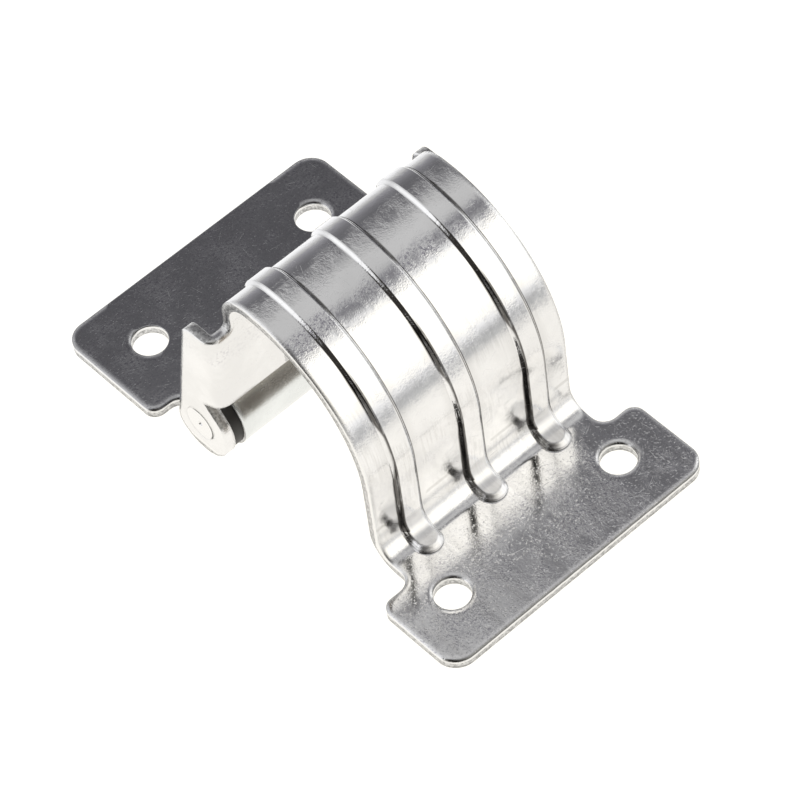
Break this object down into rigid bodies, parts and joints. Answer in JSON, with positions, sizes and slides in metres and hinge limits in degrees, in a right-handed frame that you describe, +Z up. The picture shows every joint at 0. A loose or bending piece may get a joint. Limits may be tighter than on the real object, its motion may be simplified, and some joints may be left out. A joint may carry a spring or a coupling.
{
  "type": "gooseneck concealed hinge",
  "caption": "Concealed gooseneck hinge pressed from stainless sheet: a flat leaf and a high ribbed arched leaf with ears, turning on a riveted pin in black flanged bushes.",
  "frame": {"origin": "midway between the two screw holes of the arched leaf, on the mounting plane under both leaves", "axes": "+X along the hinge pin, +Y from the arched leaf to the flat leaf, +Z up, away from the mounting plane"},
  "size_m": [0.046, 0.079, 0.0351],
  "materials": {
    "arched_steel": "bright, lightly scratched",
    "flat_steel": "satin",
    "pin_steel": "turned, staked ends",
    "black_bush": "moulded, matt"
  },
  "bodies": {
    "arched_side": {"arched_leaf": "arched_steel", "hinge_pin": "pin_steel"},
    "flat_side": {"flat_leaf": "flat_steel", "bush_left": "black_bush", "bush_right": "black_bush"}
  },
  "joints": [
    {"name": "hinge", "type": "hinge", "parent": "arched_side", "child": "flat_side", "pos_m": [0, 0.04235, 0.0055], "axis": [1, 0, 0], "range_deg": [-180, 95]}
  ]
}
